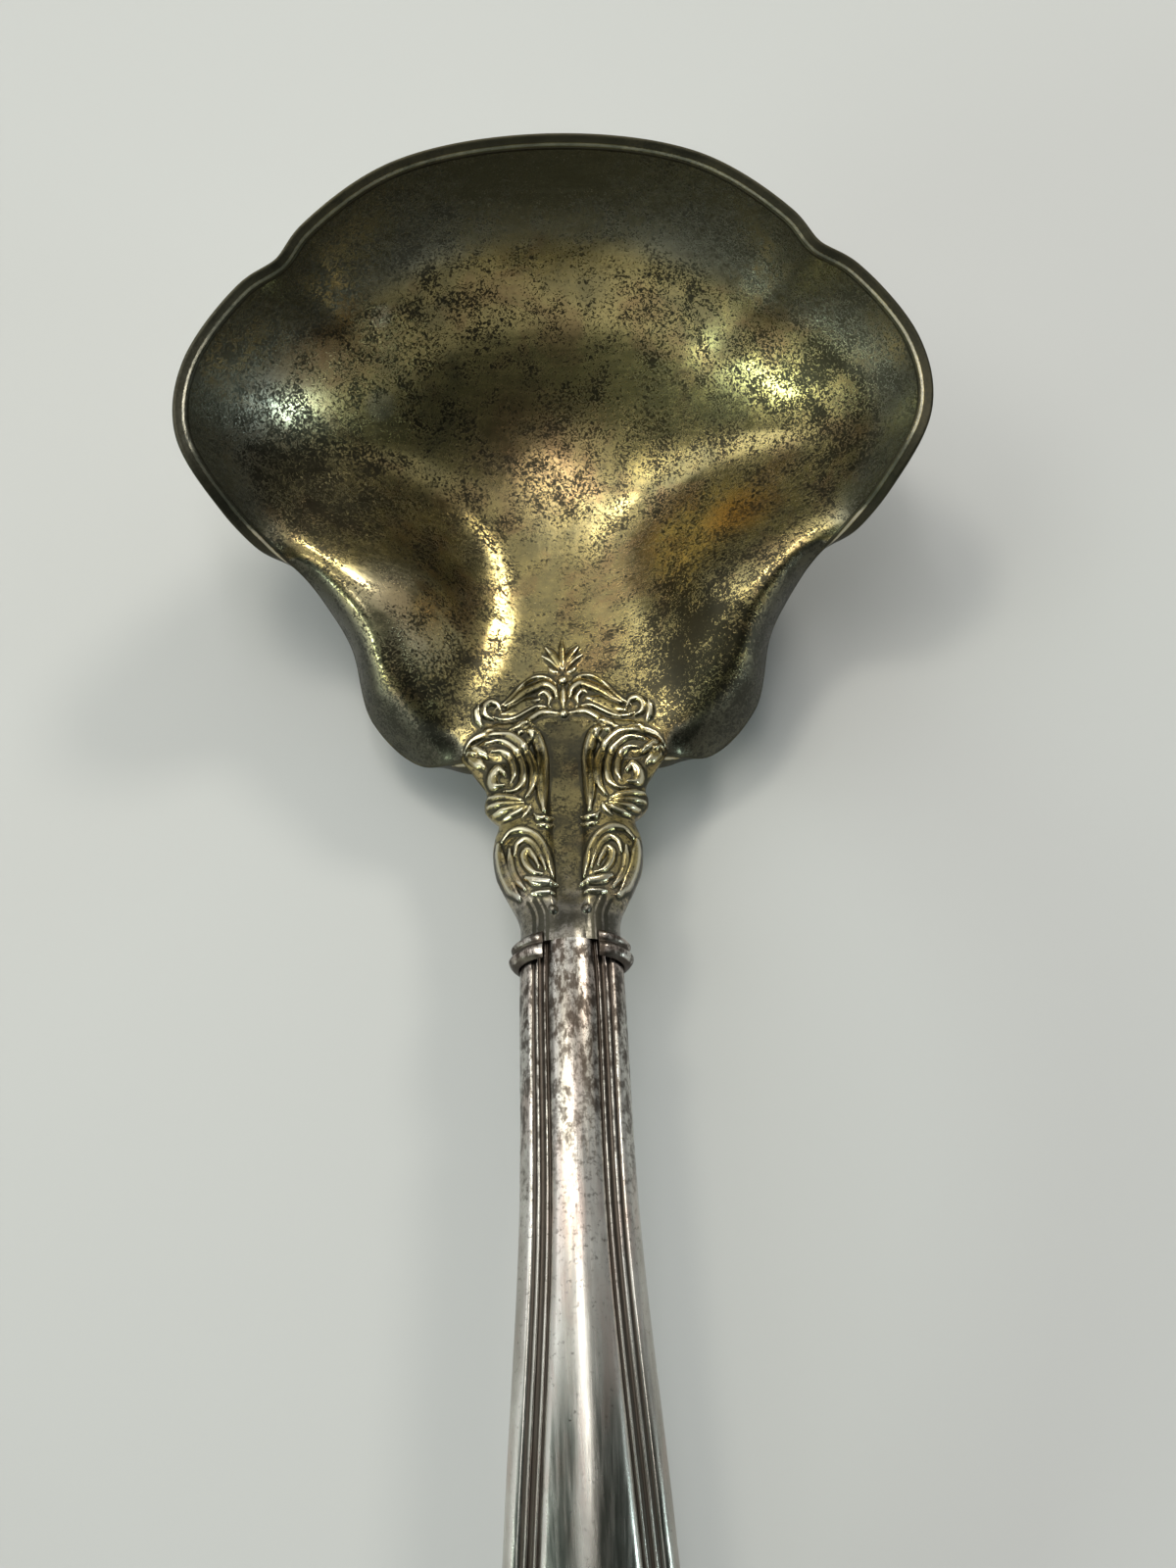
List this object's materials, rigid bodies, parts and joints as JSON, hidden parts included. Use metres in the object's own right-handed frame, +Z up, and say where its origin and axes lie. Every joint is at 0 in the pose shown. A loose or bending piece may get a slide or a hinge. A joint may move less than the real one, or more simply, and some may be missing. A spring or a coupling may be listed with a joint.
{
  "type": "cream ladle",
  "caption": "Small silver serving ladle with a lobed bowl gilt inside, a shoulder of C scrolls and a long curved handle with reeded borders, for cream or sauce.",
  "frame": {"origin": "centre of the small flat under the bowl, on which the ladle rests", "axes": "+Z up from the table, +Y along the ladle from the handle towards the front of the bowl, +X to the right"},
  "size_m": [0.053, 0.134, 0.0231],
  "materials": {
    "gilt_silver": "gilt silver, spotted with dark tarnish",
    "worn_gilt": "gilding worn through to silver, dark in the hollows",
    "silver": "polished silver with fine scratches and dark grooves",
    "tang_silver": "unpolished silver",
    "pitch": "hard brown filler"
  },
  "bodies": {
    "root": {"bowl": "gilt_silver", "edge_wire": "worn_gilt", "shoulder": "worn_gilt", "heel_drop": "silver", "collar": "silver", "handle_front": "silver", "handle_back": "silver", "tang": "tang_silver", "handle_filler": "pitch"}
  },
  "joints": []
}
